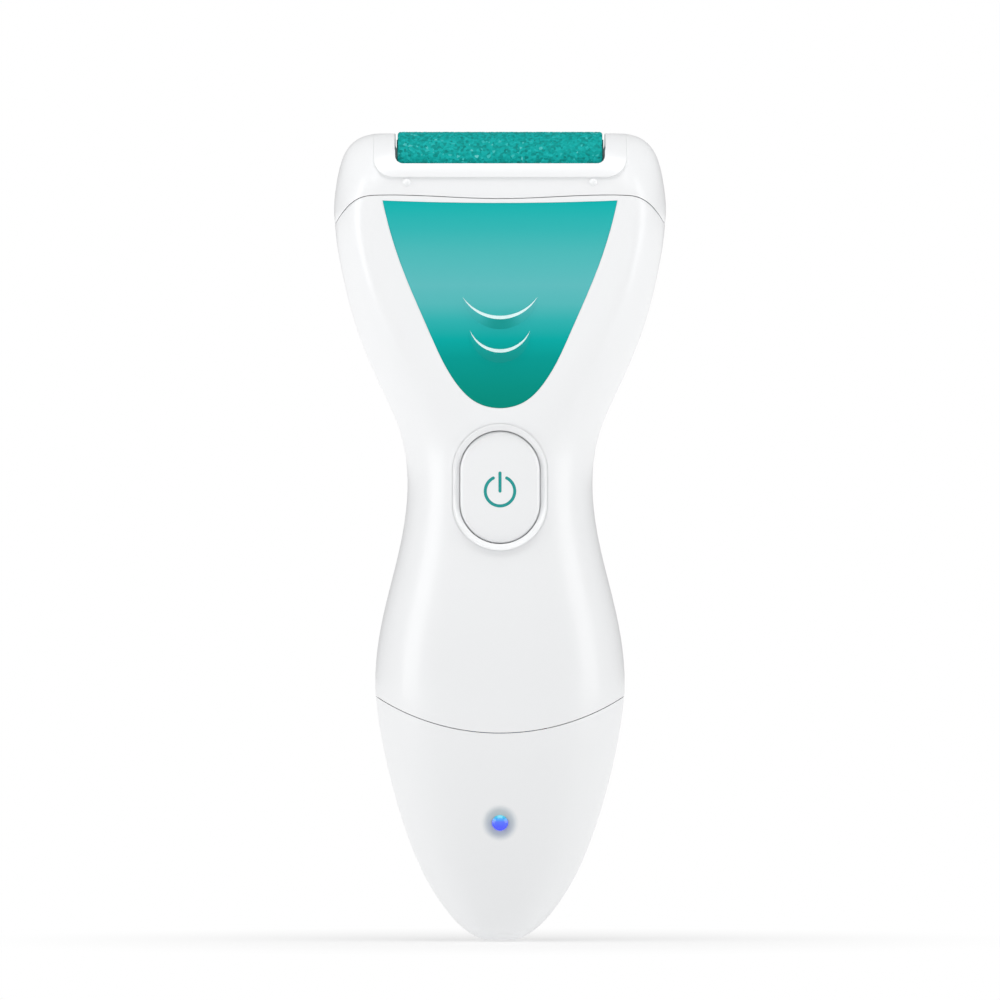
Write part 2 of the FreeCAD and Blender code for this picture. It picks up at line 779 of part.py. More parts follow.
def make_front_shell():
    gap = size("shell_gap")
    bosses = [rod(size("boss_radius"), "y", -REACH, 0, place) for place in screw_places()]
    board_boss = size("board_boss_radius")
    bosses += [rod(board_boss, "y", -REACH, size("board_front"), place) for place in BOARD_SCREWS]
    region = between(cap_seam(half_gap), head_seam(-half_gap), -REACH, -gap)
    shell = handle_outer.common(region).cut(handle_cavity.cut(bosses))
    clear = 2 * size("shell_gap")
    width, height = size("bezel_width") + clear, size("bezel_height") + clear
    holes = [rod(size("screw_radius"), "y", -7.0, 1, place) for place in screw_places()]
    holes += [rod(0.8, "y", size("board_front") - 3.4, 0, place) for place in BOARD_SCREWS]
    holes.append(stadium(width, height, size("button_z"), -REACH, -5))
    recess = prism(panel_edges(size("panel_clear")), -REACH, 0).cut(panel_back)
    return shell.cut(holes + recess.Solids)


def make_rear_shell():
    gap = size("shell_gap")
    inner = [rod(size("boss_radius") + 0.6, "y", 0, REACH, place) for place in screw_places()]
    half_rib, wide = size("rib_width") / 2, size("battery_radius") + 2.9
    for z in BATTERY_RIBS:
        rib = block((-wide, size("battery_y") + 2, z - half_rib), (wide, REACH, z + half_rib))
        seat = size("battery_radius") + size("seat_clear")
        inner.append(rib.cut(rod(seat, "z", 0, size("housing_height"), (0, size("battery_y")))))
    tall = size("motor_width") / 2 - 1.2
    for x in MOTOR_RIBS:
        low, high = size("motor_z") - tall - 1.2, size("motor_z") + tall - 1.2
        rib = block((x - half_rib, size("motor_y") + 2.5, low), (x + half_rib, REACH, high))
        inner.append(rib.cut(motor_block(size("seat_clear"), -REACH, REACH)))
    region = between(cap_seam(half_gap), head_seam(-half_gap), gap, REACH)
    shell = handle_outer.common(region).cut(handle_cavity.cut(inner))
    holes = [rod(size("screw_radius") + 0.15, "y", -1, REACH, place) for place in screw_places()]
    holes += [rod(2.4, "y", size("screw_y"), REACH, place) for place in screw_places()]
    return shell.cut(holes)


def motor_block(grow, start, end):
    """The motor's outline, round with two flats, from one end to the other."""
    y, z = motor_at
    flat = size("motor_flats") / 2 + grow
    barrel = rod(size("motor_width") / 2 + grow, "x", start, end, motor_at)
    return barrel.common(block((start, y - REACH, z - flat), (end, y + REACH, z + flat)))


def make_bottom_cap():
    shell = housing(CAP_LEVELS).common(between(level_line(-5.0), cap_seam(-half_gap)))
    shell = shell.cut(housing(CAP_LEVELS, -wall))
    z, lens, rim, depth = size("lamp_z"), size("lamp_radius"), size("dish_radius"), size("dish_depth")
    span = 2.0
    low, high = surface_y(shell, 0, z - span), surface_y(shell, 0, z + span)
    inward = Vec(0, 2 * span, low - high).normalize()
    start = Vec(0, (low + high) / 2, z) - inward * depth
    dish = Part.makeCone(2 * rim - lens, lens, 2 * depth, start, inward)
    lamp_hole = rod(lens, "y", -REACH, -5, (0, z))
    return shell.cut([block(*SOCKET_OPENING), lamp_hole, dish])


def barrel(front):
    """The button's crowned face: an arc swept round an upright axis behind it."""
    z = size("button_z")
    across, along, reach = size("crown_across"), size("crown_along"), 16.0
    sag = along - math.sqrt(along**2 - reach**2)
    axis_y = front + across
    low, high = Vec(0, front + sag, z - reach), Vec(0, front + sag, z + reach)
    edge = Part.Arc(low, Vec(0, front, z), high).toShape()
    rest = Part.makePolygon([high, Vec(0, axis_y, z + reach), Vec(0, axis_y, z - reach), low])
    face = Part.Face(Part.Wire([edge] + rest.Edges))
    face.rotate(Vec(0, axis_y, 0), AXES["z"], 180)
    return face.revolve(Vec(0, axis_y, 0), AXES["z"], 360)


def icon_prism():
    """A ring that is open at the top, with an upright bar in the opening."""
    z, radius, half_line = size("icon_z"), size("icon_radius"), size("icon_line") / 2
    opening = math.radians(size("icon_opening"))
    side_x, side_z = math.sin(opening), math.cos(opening)
    outer, inner = [rod(radius + grow, "y", -REACH, 0, (0, z)) for grow in (half_line, -half_line)]
    far = 3 * radius
    left, right = (-far * side_x, z + far * side_z), (far * side_x, z + far * side_z)
    wedge = prism([line((0, z), right), line(right, left), line(left, (0, z))], -REACH, 0)
    ends = [rod(half_line, "y", -REACH, 0, (side * radius * side_x, z + radius * side_z)) for side in (-1, 1)]
    ring = fused([outer.cut([inner, wedge])] + ends)
    bar = stadium(2 * half_line, size("icon_bar"), z + size("icon_bar_rise"), -REACH, 0)
    return ring, bar


def bezel_stadium(grow, front, back):
    """The bezel's outline, or its hole's with a negative growth."""
    width, height = size("bezel_width") + grow, size("bezel_height") + grow
    return stadium(width, height, size("button_z"), front, back)


def make_power_button():
    """A crowned cap on a skirt in the bezel's hole, with a flange behind and a post for the switch."""
    z = size("button_z")
    width, height = size("button_width"), size("button_height")
    front, flange_y, back = -size("button_face"), -size("flange_face"), -size("flange_back")
    cap = stadium(width, height, z, -REACH, flange_y).common(barrel(front))
    rim = [edge for edge in cap.Edges if edge.BoundBox.YMax < front + 2.5]
    cap = cap.makeFillet(0.8, rim)
    hole = size("bezel_hole") - size("bezel_width")
    skirt = bezel_stadium(hole - 2 * size("running_gap"), -size("skirt_face"), flange_y + 0.05)
    flange = stadium(width + 2.1, height + 2.1, z, flange_y, back)
    hollow = stadium(width - 3.0, height - 3.0, z, front + 1.7, 0)
    post = rod(2.2, "y", front + 1.4, -size("plunger_face"), (0, z))
    body = fused([fused([cap, skirt, flange]).cut(hollow), post])
    for shape in icon_prism():
        body = body.cut(shape.cut(barrel(front + size("icon_depth"))))
    return body


def make_power_icon():
    front = -size("button_face")
    shell = barrel(front - 0.03).cut(barrel(front + size("icon_depth")))
    return Part.makeCompound([shape.common(shell) for shape in icon_prism()])


def make_button_bezel():
    """A raised ring with a sloping inner edge, a neck through the shell and a foot behind it."""
    hole = size("bezel_hole") - size("bezel_width")
    step, back, foot_y = -size("flange_face") - 0.05, -size("foot_back"), -size("foot_back") - 1.0
    ring = bezel_stadium(0, -REACH, step).common(housing(BEZEL_LEVELS, size("bezel_lift")))
    ring = ring.cut(bezel_stadium(hole, -REACH, 0))
    opening = bezel_stadium(hole + 0.1, -REACH, 0).BoundBox
    inner = [edge for edge in ring.Edges if edge.BoundBox.YMax < step - 0.5
             and opening.XMin <= edge.BoundBox.XMin and edge.BoundBox.XMax <= opening.XMax
             and opening.ZMin <= edge.BoundBox.ZMin and edge.BoundBox.ZMax <= opening.ZMax]
    ring = ring.makeChamfer(size("bezel_slope"), inner)
    rebate = bezel_stadium(hole + 2.0, step, 0)
    neck = bezel_stadium(0, step - 0.3, back).cut([rebate, bezel_stadium(hole, -REACH, 0)])
    inside = housing(BEZEL_LEVELS, -wall - 0.05)
    foot = bezel_stadium(2.2, foot_y, back).common(inside).cut(rebate)
    return fused([ring, neck, foot])


# ---------------------------------------------------------------- drive and electrics


def make_motor_can():
    start, end = size("motor_face"), size("motor_face") + size("motor_length")
    can = motor_block(0, start, end).cut(motor_block(-0.8, start + 0.8, end + 1))
    nose = rod(size("nose_radius"), "x", start - 1.2, start + 0.4, motor_at)
    bearing = rod(size("shaft_radius") + size("running_gap"), "x", start - 2, start + 2, motor_at)
    return fused([can, nose]).cut(bearing)


def make_motor_magnets():
    """Two curved magnets, at the can's round sides."""
    start = size("motor_face") + 4
    end = start + 16
    radius, half_height = size("magnet_radius"), 5.2
    ring = rod(radius, "x", start, end, motor_at).cut(rod(radius - 2.45, "x", start - 1, end + 1, motor_at))
    y, z = motor_at
    return ring.common(block((start, y - radius, z - half_height), (end, y + radius, z + half_height)))


def make_motor_bell():
    start = size("motor_face") + size("motor_length")
    end = start + size("bell_length")
    body = motor_block(-0.4, start, end)
    return body.cut(rod(size("shaft_radius") + size("running_gap"), "x", start - 1, end + 1, motor_at))


def make_motor_terminals():
    """Two flat tabs with an eye for the lead."""
    start = size("motor_face") + size("motor_length") + size("bell_length")
    length, half_width, half_thick, eye = 3.6, 1.2, 0.2, 0.5
    y, z = motor_at
    tabs = []
    for side in (-1, 1):
        middle = y + side * size("terminal_step")
        low = (start, middle - half_width, z - half_thick)
        high = (start + length, middle + half_width, z + half_thick)
        tabs.append(block(low, high).cut(rod(eye, "z", z - 1, z + 1, (start + length - 1.0, middle))))
    return Part.makeCompound(tabs)


def post_places():
    return [(motor_at[0] + back, motor_at[1] + up) for back, up in POSTS]


def make_motor_bracket():
    """The plate in front of the motor, with two posts that carry the gear plate."""
    y, z = motor_at
    right = size("motor_face")
    left = right - size("bracket_thick")
    plate = block((left, y - 9.0, z - 7.2), (right, y + 8.0, size("bracket_top"))).common(roomy)
    outer = size("gear_plate_x")
    posts = [rod(size("post_radius"), "x", outer, left + 0.2, place) for place in post_places()]
    holes = [rod(0.5, "x", outer - 1, left - 0.4, place) for place in post_places()]
    holes += [rod(0.85, "x", left - 1, right + 1, (y + back, z + up)) for back, up in BRACKET_SCREWS]
    holes.append(rod(size("nose_radius") + size("running_gap"), "x", left - 1, right + 1, motor_at))
    return fused([plate] + posts).cut(holes)


def make_gear_plate():
    """A sheet-metal plate outside the gears, round the two posts and the idler's axle."""
    y, z = motor_at
    top_y, top_z = idler_at
    front, back, half_top = y - 7.0, y + 5.8, 2.6
    corners = ((front, z - 1.6), (back, z - 1.6), (back, z + 2.6), (top_y + half_top, top_z + 2.4),
               (top_y - half_top, top_z + 2.4), (front, z + 2.6))
    end = size("gear_plate_x")
    start = end - size("gear_plate_thick")
    loop = [Vec(start, *corner) for corner in corners]
    plate = Part.Face(Part.makePolygon(loop + loop[:1])).extrude(Vec(end - start, 0, 0)).common(roomy)
    holes = [rod(0.6, "x", start - 1, end + 1, place) for place in post_places()]
    return plate.cut(holes + [rod(size("axle_radius"), "x", start - 1, end + 1, idler_at)])


def make_charging_socket():
    body = block(*SOCKET_SHELL)
    upright = [edge for edge in body.Edges if abs(edge.tangentAt(edge.FirstParameter).z) > 0.9]
    return body.makeFillet(0.6, upright).cut(block(*SOCKET_ROOM))


def make_led():
    """A flanged round LED behind its lens, with two bent legs down to the charge board."""
    z = size("lamp_z")
    radius, collar, front, back = 1.5, 1.9, -11.6, -9.1
    half_leg, bend, board_y, foot = 0.25, -4.9, 1.45, 21.4
    dome = Part.makeSphere(radius, Vec(0, front, z)).common(block((-3, front - 3, z - 3), (3, front, z + 3)))
    body = [rod(radius, "y", front, back, (0, z)), rod(collar, "y", back - 0.7, back, (0, z)), dome]
    for side in (-1, 1):
        low, high = side * 1.27 - half_leg, side * 1.27 + half_leg
        body.append(block((low, back - 0.1, z - half_leg), (high, bend + 0.5, z + half_leg)))
        body.append(block((low, bend, foot), (high, bend + 0.5, z + half_leg)))
        body.append(block((low, bend, foot), (high, board_y, foot + 0.5)))
    return fused(body)


def make_motor_leads():
    """From the motor's terminals down to the circuit board."""
    y, z = motor_at
    end = size("motor_face") + size("motor_length") + size("bell_length") + 3.1
    leads = []
    for side in (-1, 1):
        middle = y + side * size("terminal_step")
        leads.append(wire_along([
            (end, middle, z - 0.9),
            (end + 1.0, middle - 0.4, z - 5),
            (end - 0.6, middle - 1.5, z - 12),
            (end - 3.0, side * 2.0 - 4.5, z - 19),
            (end - 4.6, side * 1.6 - 6.8, z - 24),
            (end - 5.0, -8.5, z - 27 - side * 1.4),
        ]))
    return Part.makeCompound(leads)


def make_battery_leads():
    return Part.makeCompound([wire_along(BATTERY_TOP_LEAD), wire_along(BATTERY_LOW_LEAD)])


def make_charge_leads():
    return Part.makeCompound([wire_along([(side * x, y, z) for x, y, z in CHARGE_LEAD]) for side in (-1, 1)])


def screws(name, places, along, start, point, head_radius, head_height, radius, length):
    """Cross-recess screws whose points look along an axis (1) or against it (-1), as separate solids."""
    made = []
    for number, place in enumerate(places):
        across = [f"{value:.6g}" for value in place]
        stem = f"{name}_{number}"
        blank = turned(stem + "_blank", [
            ("0", "0"), (f"{point * length}", "0"), (f"{point * length}", f"{radius}"),
            (f"{point * head_height}", f"{radius}"), (f"{point * head_height}", f"{head_radius}"),
            ("0", f"{head_radius * 0.86}"),
        ], along, across)
        bind(blank, f"Placement.Base.{along}", start)
        slots = []
        arm, thin, deep = head_radius * 0.55, head_radius * 0.13, head_height * 0.6
        for turn in (0, 1):
            wide = (thin, arm) if turn else (arm, thin)
            others = [letter for letter in "xyz" if letter != along]
            low = {along: f"{start} - {deep if point < 0 else 1}"}
            high = {along: f"{start} + {deep if point > 0 else 1}"}
            for letter, value, reach in zip(others, across, wide):
                low[letter] = f"{value} - {reach:.6g}"
                high[letter] = f"{value} + {reach:.6g}"
            slots.append(box(f"{stem}_slot_{turn}", [low[k] for k in "xyz"], [high[k] for k in "xyz"]))
        made.append(cut(stem, blank, joined(stem + "_cross", slots)))
    return group(name, made)


# Name, places, axis, where the heads begin, which way the points look, head radius and height, stem radius
# and overall length.
SCREWS = (
    ("case_screws", list(screw_places()), "y", "screw_y + 1.4", -1, (2.1, 1.4), (1.05, 14.0)),
    ("board_screws", BOARD_SCREWS, "y", "board_back + 1.0", -1, (1.6, 1.0), (0.75, 4.8)),
    ("gear_plate_screws", post_places(), "x", "gear_plate_x - gear_plate_thick - 0.6", 1, (0.9, 0.6),
     (0.48, 3.9)),
)

# ---------------------------------------------------------------- the pieces

pieces = {
    # head
    "head_frame": feature("head_frame", make_head_frame()),
    "roller_cradle": feature("roller_cradle", make_roller_cradle()),
    "drive_bush": turned("drive_bush", [
        ("-tub_half", "bush_bore"), ("-bay_half", "bush_bore"), ("-bay_half", "bush_radius"),
        ("-tub_half", "bush_radius"),
    ], "x", ("roller_y", "roller_z")),
    # roller
    "roller_sleeve": turned("roller_sleeve", [
        ("-roller_half", "core_radius"), ("roller_half", "core_radius"),
        ("roller_half", "roller_radius - 0.5"), ("roller_half - 0.5", "roller_radius"),
        ("-roller_half + 0.5", "roller_radius"),
        ("-roller_half", "roller_radius - 0.5"),
    ], "x", ("roller_y", "roller_z")),
    "roller_core": turned("roller_core", [
        ("-core_half", "core_bore"), ("core_half", "core_bore"), ("core_half", "core_radius"),
        ("-core_half", "core_radius"),
    ], "x", ("roller_y", "roller_z")),
    "idle_end_cap": turned("idle_end_cap", [
        ("cap_reach", "0"), ("pin_start - 0.3", "0"), ("pin_start - 0.3", "pin_radius + running_gap"),
        ("cap_flange", "pin_radius + running_gap"), ("cap_flange", "core_radius - 0.05"),
        ("core_half", "core_radius - 0.05"), ("core_half", "core_bore"), ("cap_reach", "core_bore"),
    ], "x", ("roller_y", "roller_z")),
    "drive_end_cap": feature("drive_end_cap", fused([
        rod(size("core_bore"), "x", -size("core_half"), -size("cap_reach"), roller_at),
        rod(size("core_radius") - 0.05, "x", -size("cap_flange"), -size("core_half"), roller_at),
    ]).cut(hexagon(size("hex_flats"), -size("cap_flange") - 1, -18.0, *roller_at))),
    "drive_gear": feature("drive_gear", make_drive_gear()),
    "idler_gear": feature("idler_gear", make_idler_gear()),
    "idler_axle": turned("idler_axle", [
        ("gear_plate_x - gear_plate_thick - 0.5", "0"), ("inner_plane + small_width + 0.4", "0"),
        ("inner_plane + small_width + 0.4", "axle_radius + 0.6"),
        ("inner_plane + small_width + 0.1", "axle_radius + 0.6"),
        ("inner_plane + small_width + 0.1", "axle_radius"), ("gear_plate_x - gear_plate_thick", "axle_radius"),
        ("gear_plate_x - gear_plate_thick", "axle_radius + 0.8"),
        ("gear_plate_x - gear_plate_thick - 0.5", "axle_radius + 0.8"),
    ], "x", ("idler_y", "idler_z")),
    # release catch
    "release_slider": feature("release_slider", make_release_slider()),
    "retaining_pin": turned("retaining_pin", [
        ("pin_start", "0"), ("pin_end", "0"), ("pin_end", "pin_radius"), ("pin_start + 0.4", "pin_radius"),
        ("pin_start", "pin_radius - 0.4"),
    ], "x", ("roller_y", "roller_z")),
    "release_spring": feature("release_spring", make_release_spring()),
    # handle
    "front_panel": feature("front_panel", make_front_panel()),
    "front_shell": feature("front_shell", make_front_shell()),
    "rear_shell": feature("rear_shell", make_rear_shell()),
    "bottom_cap": feature("bottom_cap", make_bottom_cap()),
    "button_bezel": feature("button_bezel", make_button_bezel()),
    "power_button": feature("power_button", make_power_button()),
    "power_icon": feature("power_icon", make_power_icon()),
    "switch_plunger": cylinder("switch_plunger", "plunger_radius", "y", "-plunger_face", "1.2",
                               ("0", "button_z")),
    # electrics
    "motor_can": feature("motor_can", make_motor_can()),
    "motor_magnets": feature("motor_magnets", make_motor_magnets()),
    "motor_end_bell": feature("motor_end_bell", make_motor_bell()),
    "motor_terminals": feature("motor_terminals", make_motor_terminals()),
    "motor_armature": cut(
        "motor_armature",
        cylinder("armature_blank", "6.3", "x", "motor_face + 5", "14", ("motor_y", "motor_z")),
        cylinder("armature_bore", "shaft_radius", "x", "motor_face + 4", "16", ("motor_y", "motor_z")),
    ),
    "motor_shaft": cylinder("motor_shaft", "shaft_radius", "x", "outer_plane - 0.2",
                            "motor_face + motor_length + 2.9 - outer_plane", ("motor_y", "motor_z")),
    "motor_pinion": feature("motor_pinion", make_pinion()),
    "motor_bracket": feature("motor_bracket", make_motor_bracket()),
    "gear_plate": feature("gear_plate", make_gear_plate()),
    "motor_leads": feature("motor_leads", make_motor_leads()),
    "battery": turned("battery", [
        ("battery_low", "0"), ("battery_high + 0.8", "0"), ("battery_high + 0.8", "2.6"),
        ("battery_high", "2.6"),
        ("battery_high", "battery_radius - 0.3"), ("battery_high - 0.3", "battery_radius"),
        ("battery_low + 0.3", "battery_radius"), ("battery_low", "battery_radius - 0.3"),
    ], "z", ("0", "battery_y")),
    "battery_tabs": group("battery_tabs", [
        box("tab_low", ("-2.5", "1.5", "battery_low - 0.3"), ("3.5", "6.5", "battery_low")),
        box("tab_high", ("-3.5", "1.5", "battery_high + 0.8"), ("2.5", "6.5", "battery_high + 1.1")),
    ]),
    "battery_leads": feature("battery_leads", make_battery_leads()),
    "charge_board": box("charge_board", ("-5.2", "1.5", "5.2"), ("5.2", "2.5", "23.4")),
    "charging_socket": feature("charging_socket", make_charging_socket()),
    "socket_contacts": box("socket_contacts", ("-2.6", "-0.3", "2.2"), ("2.6", "0.3", "6.6")),
    "charge_leads": feature("charge_leads", make_charge_leads()),
    "charge_led": feature("charge_led", make_led()),
    "led_lens": turned("led_lens", [
        ("lamp_front", "0"), ("-lens_back", "0"), ("-lens_back", "lamp_radius + 0.6"),
        ("-lens_back - 0.2", "lamp_radius + 0.6"), ("-lens_back - 0.2", "lamp_radius - 0.02"),
        ("lamp_front + 0.35", "lamp_radius - 0.02"),
        ("lamp_front", "lamp_radius - 0.6"),
    ], "y", ("0", "lamp_z")),
    "tact_switch": cut("tact_switch", box("switch_block", ("-3", "-13.2", "button_z - 3"),
                                          ("3", "board_front", "button_z + 3")),
                       cylinder("switch_well", "plunger_radius + running_gap", "y", "-14.2", "1.95",
                                ("0", "button_z"))),
}

board_blank = box(
    "board_blank",
    ("-board_half", "board_front", "board_low"),
    ("board_half", "board_back", "board_high"),
)
board_holes = joined("board_holes", [
    cylinder(f"board_hole_{number}", "0.95", "y", "board_front - 1", "3", (f"{x}", f"{z}"))
    for number, (x, z) in enumerate(BOARD_SCREWS)
])
pieces["circuit_board"] = cut("circuit_board", board_blank, board_holes)
pieces["board_chips"] = group("board_chips", [
    box("chip_main", ("-3.2", "board_back", "96"), ("3.2", "board_back + 1.4", "101")),
    box("chip_driver", ("-8.5", "board_back", "88"), ("-5.0", "board_back + 1.1", "93")),
    box("chip_charge", ("4.0", "board_back", "84"), ("7.0", "board_back + 1.1", "88")),
    box("coil", ("-3.0", "board_back", "82.5"), ("1.6", "board_back + 2.4", "87")),
])
for name, places, along, start, point, head, stem in SCREWS:
    pieces[name] = screws(name, places, along, start, point, *head, *stem)

doc.recompute()

for item in doc.Objects:
    if {"Invalid", "Error"} & set(item.State):
        raise RuntimeError(f"{item.Name}: {item.State}")
for name, item in pieces.items():
    if item.Shape.isNull() or not item.Shape.isValid():
        raise RuntimeError(f"{name} has no valid shape")
    item.Label = name

os.makedirs("parts", exist_ok=True)
for name, item in pieces.items():
    item.Shape.exportStep(f"parts/{name}.step")
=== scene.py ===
import math

import bpy
import numpy as np
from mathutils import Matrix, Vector

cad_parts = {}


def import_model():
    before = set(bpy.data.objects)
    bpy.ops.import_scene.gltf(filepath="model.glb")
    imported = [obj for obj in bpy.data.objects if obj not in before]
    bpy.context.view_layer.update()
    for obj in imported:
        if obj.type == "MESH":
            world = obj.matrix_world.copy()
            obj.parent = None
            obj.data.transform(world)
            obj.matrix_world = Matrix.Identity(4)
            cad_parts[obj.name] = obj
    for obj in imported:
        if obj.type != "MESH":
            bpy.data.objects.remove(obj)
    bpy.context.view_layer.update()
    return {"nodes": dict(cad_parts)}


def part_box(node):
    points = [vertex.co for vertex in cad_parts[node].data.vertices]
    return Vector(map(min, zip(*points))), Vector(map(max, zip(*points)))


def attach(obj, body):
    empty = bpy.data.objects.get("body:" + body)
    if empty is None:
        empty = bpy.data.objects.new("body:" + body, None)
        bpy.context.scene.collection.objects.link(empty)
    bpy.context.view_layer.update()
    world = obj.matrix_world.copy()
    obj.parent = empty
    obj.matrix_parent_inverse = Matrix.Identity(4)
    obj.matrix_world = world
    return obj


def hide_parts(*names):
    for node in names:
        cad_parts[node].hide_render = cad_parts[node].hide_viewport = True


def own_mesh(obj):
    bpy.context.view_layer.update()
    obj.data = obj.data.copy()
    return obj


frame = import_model()
nodes = frame["nodes"]
MM = 0.001


# ---------------------------------------------------------------- materials


def linear(red, green, blue):
    """A screen colour of 0 to 255 as linear light."""
    return tuple(
        (c / 255 / 12.92 if c <= 10 else ((c / 255 + 0.055) / 1.055) ** 2.4) for c in (red, green, blue)
    ) + (1.0,)


WHITE_COLOUR = linear(244, 245, 246)
# Painted highlight on the upward-facing bevels of the thumb ribs.
RIB_PAINTED_HIGHLIGHT = linear(226, 244, 243)
# Painted shade on the downward-facing slopes of the thumb ribs.
RIB_PAINTED_SHADE = linear(4, 152, 146)


class Look:
    """A material's node tree with its main shader."""

    def __init__(self, name, colour, rough=0.4, metal=0.0, coat=0.0, **inputs):
        self.material = bpy.data.materials.new(name)
        self.material.use_nodes = True
        self.tree = self.material.node_tree
        self.shader = self.tree.nodes["Principled BSDF"]
        self.shader.inputs["Base Color"].default_value = colour
        self.shader.inputs["Roughness"].default_value = rough
        self.shader.inputs["Metallic"].default_value = metal
        self.shader.inputs["Coat Weight"].default_value = coat
        for key, value in inputs.items():
            self.shader.inputs[key.replace("_", " ")].default_value = value

    def add(self, kind, **settings):
        node = self.tree.nodes.new(kind)
        for key, value in settings.items():
            setattr(node, key, value)
        return node

    def join(self, source, target):
        self.tree.links.new(source, target)

    def place(self, scale=1.0):
        """Rest coordinates of the piece, in metres times scale."""
        coordinates = self.add("ShaderNodeTexCoord")
        mapping = self.add("ShaderNodeMapping")
        mapping.inputs["Scale"].default_value = (scale, scale, scale)
        self.join(coordinates.outputs["Object"], mapping.inputs["Vector"])
        return mapping.outputs["Vector"]

    def noise(self, scale, detail=3.0, rough=0.55):
        texture = self.add("ShaderNodeTexNoise")
        texture.inputs["Scale"].default_value = scale
        texture.inputs["Detail"].default_value = detail
        texture.inputs["Roughness"].default_value = rough
        self.join(self.place(), texture.inputs["Vector"])
        return texture.outputs["Fac"]

    def ramp(self, source, stops):
        ramp = self.add("ShaderNodeValToRGB")
        points = ramp.color_ramp.elements
        while len(points) < len(stops):
            points.new(0.5)
        for point, (position, colour) in zip(points, stops):
            point.position = position
            point.color = colour
        self.join(source, ramp.inputs["Fac"])
        return ramp.outputs["Color"]

    def bump(self, height, strength, distance):
        node = self.add("ShaderNodeBump")
        node.inputs["Strength"].default_value = strength
        node.inputs["Distance"].default_value = distance
        self.join(height, node.inputs["Height"])
        self.join(node.outputs["Normal"], self.shader.inputs["Normal"])

    def spread(self, value, from_min=0.0, from_max=1.0, to_min=0.0, to_max=1.0, way="LINEAR"):
        """A value mapped from one range to another, and held at the ends of the second."""
        node = self.add("ShaderNodeMapRange", interpolation_type=way)
        node.inputs["From Min"].default_value = from_min
        node.inputs["From Max"].default_value = from_max
        node.inputs["To Min"].default_value = to_min
        node.inputs["To Max"].default_value = to_max
        self.join(value, node.inputs["Value"])
        return node.outputs["Result"]

    def upward_part(self, vector):
        """The vertical part of a vector."""
        split = self.add("ShaderNodeSeparateXYZ")
        self.join(vector, split.inputs["Vector"])
        return split.outputs["Z"]

    def vary_roughness(self, scale, low, high):
        rough = self.spread(self.noise(scale), to_min=low, to_max=high)
        self.join(rough, self.shader.inputs["Roughness"])

    def height(self, low, high):
        """0 at one height of the row frame to 1 at another."""
        return self.spread(self.upward_part(self.place()), low, high)

    def facing_up(self, low, high):
        """0 where the upward part of the surface's direction is low, and 1 where it is high."""
        normal = self.add("ShaderNodeTexCoord").outputs["Normal"]
        return self.spread(self.upward_part(normal), low, high, way="SMOOTHSTEP")

    def mix(self, share, under, over):
        """A colour output, with a fixed colour over it by a share of 0 to 1."""
        node = self.add("ShaderNodeMix", data_type="RGBA")
        self.join(share, node.inputs["Factor"])
        self.join(under, node.inputs["A"])
        node.inputs["B"].default_value = over
        return node.outputs["Result"]


def white_plastic(name="white_plastic"):
    look = Look(name, WHITE_COLOUR, rough=0.3, coat=0.15)
    look.shader.inputs["Coat Roughness"].default_value = 0.12
    look.vary_roughness(900, 0.26, 0.36)
    look.bump(look.noise(2600, 2), 0.04, 0.00002)
    return look


def lamp_surround_painted_glow():
    """White plastic with a painted glow of the lamp's blue light and painted shade of its dish, in a ring
    close round the lens.
    """
    look = white_plastic("white_plastic_painted_lamp_glow")
    low, high = (Vector(corner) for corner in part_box("led_lens"))
    centre = (low + high) / 2
    depth_share = 0.2  # how much depth counts in the distance, which keeps the tint off the back
    away = look.add("ShaderNodeVectorMath", operation="SUBTRACT")
    look.join(look.place(), away.inputs[0])
    away.inputs[1].default_value = centre
    flat = look.add("ShaderNodeVectorMath", operation="MULTIPLY")
    look.join(away.outputs["Vector"], flat.inputs[0])
    flat.inputs[1].default_value = (1, depth_share, 1)
    distance = look.add("ShaderNodeVectorMath", operation="LENGTH")
    look.join(flat.outputs["Vector"], distance.inputs[0])
    # Painted glow and shade: grey-blue close round the lens, fading to white further out.
    fade = look.spread(distance.outputs["Value"], 2.3 * MM, 4.0 * MM, way="SMOOTHSTEP")
    stops = [(0.0, linear(196, 204, 208)), (1.0, WHITE_COLOUR)]
    look.join(look.ramp(fade, stops), look.shader.inputs["Base Color"])
    return look


def teal_panel():
    """Teal plastic, palest across its middle partly in its own colour and partly by a painted highlight,
    with a painted highlight line and painted shade on each thumb rib.
    """
    look = Look("teal_panel", linear(18, 170, 168), rough=0.3, Specular_IOR_Level=0.12)
    low, high = 108.5 * MM, 151 * MM
    # Darker at top and bottom and palest across the middle: the panel's own teal, with a painted highlight
    # in the pale middle stops.
    stops = [
        (0.0, linear(0, 138, 122)),
        (0.1, linear(0, 144, 131)),
        (0.24, linear(0, 153, 145)),
        (0.33, linear(3, 168, 163)),
        (0.42, linear(48, 177, 176)),
        (0.5, linear(84, 185, 186)),
        (0.59, linear(94, 188, 190)),
        (0.75, linear(76, 185, 185)),
        (0.86, linear(50, 182, 181)),
        (1.0, linear(2, 179, 176)),
    ]
    # Painted shade: dark teal where the thumb ribs' slopes face down.
    with_painted_shade = look.mix(look.facing_up(-0.28, -0.4), look.ramp(look.height(low, high), stops), RIB_PAINTED_SHADE)
    # Painted highlight: a pale line where the thumb ribs' bevels face up.
    with_painted_highlight = look.mix(look.facing_up(0.3, 0.5), with_painted_shade, RIB_PAINTED_HIGHLIGHT)
    look.join(with_painted_highlight, look.shader.inputs["Base Color"])
    look.bump(look.noise(1800, 2), 0.05, 0.00002)
    return look.material


